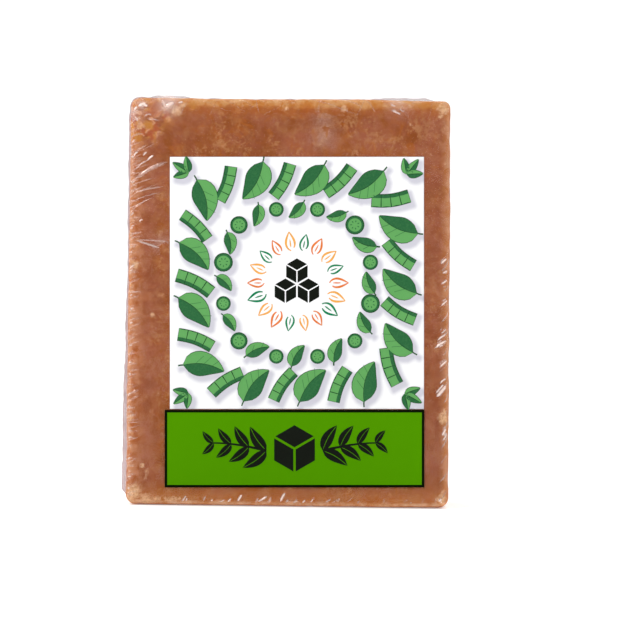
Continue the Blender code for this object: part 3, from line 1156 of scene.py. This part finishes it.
def strip(middle, left, right, level, tone, closed=False):
    # ink between two offsets of a centre line, three points across
    count = len(middle)
    ahead = np.roll(middle, -1, axis=0) - np.roll(middle, 1, axis=0)
    if not closed:
        ahead[0] = middle[1] - middle[0]
        ahead[-1] = middle[-1] - middle[-2]
    side = np.stack([-ahead[:, 1], ahead[:, 0]], 1) / np.linalg.norm(ahead, axis=1)[:, None]
    left, right = (np.broadcast_to(offset, count) for offset in (left, right))
    offsets = np.stack([right, (left + right) / 2, left], 1)
    flat = middle[:, None] + side[:, None] * offsets[:, :, None]
    index = np.arange(count * 3).reshape(-1, 3)
    if closed:
        index = np.vstack([index, index[:1]])
    points = np.column_stack([flat.reshape(-1, 2), np.full(count * 3, level * ink["level"])])
    return points, quadsBetween(index)[:, ::-1], tone


def evenStrip(middle, half, level, tone, closed=False):
    return strip(middle, half, -half, level, tone, closed)


def inkObject(name, strips):
    points, faces, tones = [], [], []
    for stripPoints, quads, tone in strips:
        faces += (quads + len(points)).tolist()
        points += stripPoints.tolist()
        tones += [tone] * len(quads)
    mesh = newMesh(name, points, faces=faces)
    setAttribute(mesh, "tone", tones, "FACE")
    return newObject(name, mesh)


def leafHalf(share, width):
    # half width of a leaf along its length
    return width / 2 * np.sin(np.pi * share ** 0.75) ** 0.85 + ink["leafTip"]


def twoToned(middle, half, rib, outline):
    # a dark outline, with a light half and a shaded half either side of a rib
    return [
        evenStrip(middle, half + outline, 0, 0),
        strip(middle, half, rib, 1, 1),
        strip(middle, -rib, -half, 1, 2),
    ]


def leafStrips(length, width, outline, veins, bend=0.10):
    share = evenLine(11)
    middle = length * np.stack([share - 0.5, bend * (np.sin(np.pi * share) - 0.5)], 1)
    half = leafHalf(share, width)
    rib = np.minimum(ink["rib"], half * 0.4)
    stem = length * np.array([(-0.62, -0.09), (-0.55, -0.065), (-0.48, -0.05)])
    strips = [*twoToned(middle, half, rib, outline), evenStrip(stem, ink["stem"], 0, 0)]
    for place in np.linspace(0.28, 0.66, veins):
        at = int(round(place * 10))
        start = middle[at] + [0.0, rib[at]]
        vein = np.linspace(start, start + [0.16 * length, half[at] * 0.72], 3)
        strips.append(evenStrip(vein, ink["vein"], 2, 2))
    return strips


def caneStrips(length, width, pieces=4, bend=0.06):
    # a stick of cane with darker joints and one shaded side
    share = evenLine(13)
    middle = length * np.stack([share - 0.5, bend * (np.sin(np.pi * share) - 0.5)], 1)
    strips = [evenStrip(middle, width / 2 + ink["outline"], 0, 0)]
    swell = width / 2 * (1.0 - 0.10 * np.sin(np.pi * evenLine(5)))
    for piece in range(pieces):
        inside = np.linspace(piece / pieces, (piece + 1) / pieces, 5)
        inside[0] += 0.010
        inside[-1] -= 0.014
        line = np.stack([np.interp(inside, share, side) for side in middle.T], 1)
        strips.append(strip(line, swell, -0.45 * swell, 1, 1))
        strips.append(strip(line, -0.45 * swell, -swell, 1, 2))
    return strips


def sliceStrips(size):
    # a round of cane: dark rind, light flesh and a ring of fibres
    turn = np.linspace(0.0, 2 * np.pi, 20, endpoint=False)
    ring = size * np.stack([np.cos(turn), np.sin(turn)], 1)
    strips = [
        evenStrip(ring * 0.46, size * 0.05, 0, 0, True),
        evenStrip(ring * 0.40, size * 0.045, 1, 2, True),
        strip(ring * 0.19, size * 0.189, size * -0.17, 1, 1, True),
    ]
    for place in np.linspace(0.0, 2 * np.pi, 7, endpoint=False):
        centre = size * 0.20 * np.array([math.cos(place), math.sin(place)])
        dash = np.outer((0.72, 1.0, 1.28), centre)
        strips.append(evenStrip(dash, size * np.array([0.0096, 0.032, 0.0096]), 2, 2))
    return strips


def trefoilStrips(size):
    # three leaflets spread from one foot
    strips = []
    share = evenLine(8)
    half = leafHalf(share, size * 0.40)
    for turn, length in ((-0.85, 0.86), (0.0, 1.0), (0.85, 0.86)):
        reach = size * share * length
        middle = np.stack([reach * math.cos(turn) - size * 0.4, reach * math.sin(turn)], 1)
        strips += twoToned(middle, half, half * 0.12, ink["outline"])
    return strips


def rayStrips(length, width, tone):
    # an open drop drawn with one line
    share = evenLine(15)
    half = width / 2 * np.sin(np.pi * share ** 0.72)
    thin, thicker = ink["ray"]
    strips = []
    for side, first, level in ((1, 0, 0), (-1, 2, 1)):
        line = np.stack([length * share, side * half], 1)[first:]
        pen = thin + thicker * np.sin(np.pi * np.linspace(0.12, 0.92, len(line)))
        strips.append(evenStrip(line, pen, level, tone))
    inner = np.stack([length * np.linspace(0.18, 0.62, 5), np.zeros(5)], 1)
    strips.append(evenStrip(inner, np.array(ink["innerRay"]), 0, tone))
    return strips


def makeCubes(name, places, size, material):
    # cubes seen from their corner, each as three solid faces with gaps between them
    gap = garland["cubeGap"]
    right = size * np.array([0.866, 0.5])
    left = right * [-1.0, 1.0]
    down = np.array([0.0, -size])
    share = evenLine(5) * (1.0 - 1.6 * gap)
    strips = []
    for place in places:
        for first, second in ((right, left), (down, right), (left, down)):
            start = place + (first + second) * gap
            flat = start + share[:, None, None] * first + share[:, None] * second
            points = np.column_stack([flat.reshape(-1, 2), np.zeros(flat.size // 2)])
            strips.append((points, quadsBetween(np.arange(25).reshape(5, 5)), 0))
    made = inkObject(name, strips)
    made.data.materials.append(material)
    return made


def randomNode(tree, spread, seed):
    given = {"Min": times(tree, spread, -1.0), "Max": spread, "Seed": seed}
    return joinNode(tree, "FunctionNodeRandomValue", given, data_type="FLOAT")


def alongNodes():
    # copies of a motif along the guide's line: each Every-th place from First, turned by Lean
    tree, given = newNodes("motifsAlongLine", (
        ("Motif", "Object", None),
        ("Count", "Int", 24),
        ("Every", "Int", 1),
        ("First", "Int", 0),
        ("Size Spread", "Float", 0.1),
        ("End Size", "Float", 1.0),
        ("Lean", "Float", 0.0),
        ("Lean Spread", "Float", 0.2),
        ("Seed", "Int", 1),
    ))
    curve = joinNode(tree, "GeometryNodeMeshToCurve", {"Mesh": given["Geometry"]})
    places = evenPoints(tree, curve, given["Count"])
    ahead = splitNode(tree, joinNode(tree, "GeometryNodeInputTangent", {}))
    heading = mathNode(tree, "ARCTAN2", ahead["Y"], ahead["X"])
    turn = randomNode(tree, given["Lean Spread"], given["Seed"])
    angle = mathNode(tree, "ADD", mathNode(tree, "ADD", heading, given["Lean"]), turn)
    vary = randomNode(tree, given["Size Spread"], mathNode(tree, "ADD", given["Seed"], 7.0))
    index = joinNode(tree, "GeometryNodeInputIndex", {})
    progress = mathNode(tree, "DIVIDE", index, mathNode(tree, "SUBTRACT", given["Count"], 1.0))
    shrink = timesPlus(tree, progress, mathNode(tree, "SUBTRACT", given["End Size"], 1.0), 1.0)
    size = times(tree, mathNode(tree, "ADD", vary, 1.0), shrink)
    left = mathNode(tree, "SUBTRACT", mathNode(tree, "MODULO", index, given["Every"]), given["First"])
    source = addNode(tree, "GeometryNodeObjectInfo")
    fillNode(tree, source, {"Object": given["Motif"]})
    placed = joinNode(tree, "GeometryNodeInstanceOnPoints", {
        "Points": places,
        "Selection": mathNode(tree, "LESS_THAN", mathNode(tree, "ABSOLUTE", left), 0.5),
        "Instance": source.outputs["Geometry"],
        "Rotation": joinNode(tree, "ShaderNodeCombineXYZ", {"Z": angle}),
        "Scale": joinNode(tree, "ShaderNodeCombineXYZ", {"X": size, "Y": size, "Z": 1.0}),
    })
    return endNodes(tree, placed, given["Material"])


def lineGuide(name, line, closed=False):
    count = len(line)
    edges = [(i, (i + 1) % count) for i in range(count if closed else count - 1)]
    return newMesh(name, np.column_stack([line, np.zeros(count)]), edges)


def squarishRing(half, power):
    # a closed path between a circle, power 2, and a square
    turn = np.linspace(0.0, 2 * np.pi, 240, endpoint=False)
    ring = np.stack([np.cos(turn), np.sin(turn)], 1)
    return half * np.sign(ring) * np.abs(ring) ** (2 / power)


def layPrint(printed, corner, lift, node):
    # bends a flat print, drawn round its label's lower left corner, onto the label
    mesh = printed.data
    flat = np.array([v.co for v in mesh.vertices])
    placed = ontoFront(flat[:, :2] + corner, lift + ink["lift"] + flat[:, 2])
    mesh.vertices.foreach_set("co", placed.astype(np.float32).ravel())
    mesh.update()
    addThickness(printed, ink["thickness"])
    handIn(printed, node)


garland = {
    # name, motif, ring half size, ring power, count, every, first, size spread, lean, lean spread, seed
    "rings": (
        ("outerLeaves", "leaf", 0.0318, 5.0, 26, 2, 0, 0.06, 0.88, 0.14, 4),
        ("outerCanes", "cane", 0.0320, 5.0, 26, 2, 1, 0.06, 0.98, 0.16, 9),
        ("innerLeaves", "leaflet", 0.0226, 2.8, 24, 2, 0, 0.14, 0.60, 0.45, 2),
        ("innerSlices", "slice", 0.0232, 2.8, 24, 2, 1, 0.14, 0.00, 3.10, 6),
        ("cornerTrefoils", "trefoil", 0.0362, 60.0, 8, 2, 1, 0.05, -1.57, 0.30, 3),
        ("rays", "ray", 0.0102, 2.0, 18, 3, 0, 0.10, -math.pi / 2, 0.06, 5),
        ("raysGreen", "greenRay", 0.0102, 2.0, 18, 3, 1, 0.10, -math.pi / 2, 0.06, 6),
        ("raysLight", "lightRay", 0.0102, 2.0, 18, 3, 2, 0.10, -math.pi / 2, 0.06, 7),
    ),
    # the motifs: (length, width), or size
    "leaf": (0.0128, 0.0074),
    "leaflet": (0.0072, 0.0038),
    "cane": (0.0114, 0.0037),
    "slice": 0.0052,
    "trefoil": 0.0058,
    "ray": (0.0056, 0.0026),
    "cubeSize": 0.0040,
    "cubeGap": 0.055,
    "cubes": ((-0.9, -0.62), (0.9, -0.62), (0.0, 0.95)),  # in cube sizes from the middle
}


def makeGarland(tree, cubeInk):
    strips = {
        "leaf": leafStrips(*garland["leaf"], ink["leafOutline"], 3),
        "cane": caneStrips(*garland["cane"]),
        "leaflet": leafStrips(*garland["leaflet"], ink["outline"], 2),
        "slice": sliceStrips(garland["slice"]),
        "trefoil": trefoilStrips(garland["trefoil"]),
    }
    for tone, name in enumerate(("ray", "greenRay", "lightRay")):
        strips[name] = rayStrips(*garland["ray"], tone)
    motifs = {name: inkObject(name + "Motif", drawn) for name, drawn in strips.items()}
    greens = inkMaterial("leafInk", ink["leafGreens"])
    colors = inkMaterial("rayInk", ink["rayColors"])
    middle = np.array(labels["squareSize"]) / 2
    prints = []
    for name, motif, half, power, count, every, first, spread, turn, turnSpread, seed in garland["rings"]:
        guide = lineGuide(name, squarishRing(half, power) + middle, True)
        prints.append(growPiece(name, guide, tree, {
            "Motif": motifs[motif], "Material": colors if name.startswith("rays") else greens,
            "Count": count, "Every": every, "First": first, "Size Spread": spread, "Lean": turn,
            "Lean Spread": turnSpread, "Seed": seed,
        }))
    for motif in motifs.values():
        bpy.data.objects.remove(motif)
    size = garland["cubeSize"]
    places = middle + size * np.array(garland["cubes"])
    return [*prints, makeCubes("labelCubes", places, size, cubeInk)]


bandSprig = {
    "length": 0.0165,
    "gap": 0.0088,  # from the middle to the first leaf
    "drop": 0.0006,  # of its foot below the band's middle
    "arch": 0.0024,
    "pairs": 4,
    "spread": 0.80,  # of the leaves from the stem
    "endLeaf": 0.55,  # size of the last leaf
    "leaf": (0.0090, 0.0036),
    "slit": 0.00009,
    "stem": 0.00042,
    "cubeSize": 0.0076,
}


def makeBandSprig(tree, material):
    # two leafy sprigs either side of a cube, in dark ink
    look = bandSprig
    middle = np.array(labels["bandSize"]) / 2
    length, width = look["leaf"]
    share = evenLine(9)
    half = leafHalf(share, width)
    slit = np.minimum(look["slit"], half * 0.5)
    leafLine = length * np.stack([share, 0.06 * np.sin(np.pi * share)], 1)
    leaf = inkObject("sprigLeaf", [strip(leafLine, half, slit, 0, 0), strip(leafLine, -slit, -half, 0, 0)])
    rise = look["arch"] * np.sin(np.pi * 0.5 * share) - look["drop"]
    run = np.stack([look["gap"] + look["length"] * share, rise], 1)
    prints = []
    for side, hand in ((1, "Right"), (-1, "Left")):
        line = middle + run * [side, 1]
        for turn in (look["spread"], -look["spread"]):
            name = "sprig" + hand + ("Upper" if turn * side > 0 else "Lower")
            prints.append(growPiece(name, lineGuide(name, line), tree, {
                "Motif": leaf, "Material": material, "Count": look["pairs"], "Size Spread": 0.04,
                "End Size": look["endLeaf"], "Lean": turn, "Lean Spread": 0.05, "Seed": 3,
            }))
        stem = inkObject("sprigStem" + hand, [evenStrip(line, look["stem"] * (1.0 - 0.5 * share), 1, 0)])
        stem.data.materials.append(material)
        prints.append(stem)
    bpy.data.objects.remove(leaf)
    return [*prints, makeCubes("bandCube", [middle], look["cubeSize"], material)]


# Studio

studio = {
    "white": 1.12,
    "lensSide": 0.10,
    "floorSize": 12.0,
    "floorDrop": 0.0002,  # under the block
    "floorGlow": 0.27,  # keeps the far floor as white as the near
    "lens": 200.0,
    "sensor": 36.0,
    "imageWidth": 0.200,  # at the block's front face
    "aim": (0.06015, 0.0584),  # of the lens axis, from the block's lower left corner
    "lightTarget": (0.0, 0.0, 0.06),
    # name, place, size, power
    "lights": (
        ("keyTopLeft", (-0.50, -0.60, 0.80), (0.16, 0.16), 3.6),
        ("stripLeft", (-1.0, 0.0, 0.25), (0.05, 0.5), 0.6),
        ("stripRight", (1.0, 0.0, 0.30), (0.05, 0.5), 0.7),
        ("top", (0.1, 0.1, 0.9), (0.5, 0.15), 1.15),
        ("back", (0.3, 0.9, 0.6), (0.5, 0.2), 1.1),
    ),
}


def makeWorld(scene):
    # white all round, dimmer behind the lens, where a real studio has its dark camera side
    world = bpy.data.worlds.new("softWhite")
    world.use_nodes = True
    tree = world.node_tree
    direction = splitNode(tree, addNode(tree, "ShaderNodeTexCoord").outputs["Generated"])
    dark = rampNode(tree, times(tree, direction["Y"], -1.0), 0.30, 0.85)
    strength = timesPlus(tree, dark, studio["lensSide"] - studio["white"], studio["white"])
    seen = addNode(tree, "ShaderNodeLightPath").outputs["Is Camera Ray"]
    strength = mathNode(tree, "MAXIMUM", strength, seen)
    fillNode(tree, tree.nodes["Background"], {"Strength": strength, "Color": (1.0, 1.0, 1.0)})
    scene.world = world


def makeStudio():
    scene = bpy.context.scene
    scene.view_settings.view_transform = "Standard"
    scene.cycles.transparent_max_bounces = 32
    makeWorld(scene)

    material, tree, shader = newMaterial("paleFloor")
    fillNode(tree, shader, {
        "Base Color": (0.95, 0.95, 0.95),
        "Emission Color": (1.0, 1.0, 1.0),
        "Emission Strength": studio["floorGlow"],
        "Roughness": 0.9,
        "Specular IOR Level": 0.0,
    })
    half = studio["floorSize"] / 2
    corners = [(-half, -half, 0.0), (half, -half, 0.0), (half, half, 0.0), (-half, half, 0.0)]
    floor = makeMesh("floor", corners, [[0, 1, 2, 3]], material)
    floor.location.z = -studio["floorDrop"]

    for name, place, size, power in studio["lights"]:
        light = bpy.data.lights.new(name, "AREA")
        light.shape = "RECTANGLE"
        light.size, light.size_y = size
        light.energy = power
        made = newObject(name, light)
        made.location = place
        towards = Vector(studio["lightTarget"]) - Vector(place)
        made.rotation_euler = towards.to_track_quat("-Z", "Y").to_euler()

    lens = bpy.data.cameras.new("camera")
    lens.lens = studio["lens"]
    lens.sensor_width = studio["sensor"]
    lens.clip_end = 50.0
    away = studio["imageWidth"] * studio["lens"] / studio["sensor"]
    left, front, _ = boxLow + toFrame
    across, up = studio["aim"]
    camera = newObject("camera", lens)
    camera.location = (left + across, front - away, up)
    camera.rotation_euler = (math.radians(90.0), -lean, 0.0)
    scene.camera = camera
    print("studio")


makeJaggery()
clearFilm = filmMaterial("clearFilm", filmLook["clear"])
# the seam's film is tinted darker: painted shade on the fin seen edge-on
seamFilm = filmMaterial("seamFilm", filmLook["seam"])
makeFilm(clearFilm)
sweep = filmSweepNodes()
makeFolds(sweep, clearFilm)
makeSeam(sweep, seamFilm)
along = alongNodes()
darkInk = inkMaterial("darkInk", (ink["dark"],) * 3)
squarePrints = makeGarland(along, darkInk)
bandPrints = makeBandSprig(along, darkInk)
makeSquareLabel(squarePrints)
makeBandLabel()
for printed in squarePrints:
    layPrint(printed, labels["squareCorner"], squareLift, "square_label")
for printed in bandPrints:
    layPrint(printed, labels["bandCorner"], bandLift, "band_label")
makeStudio()
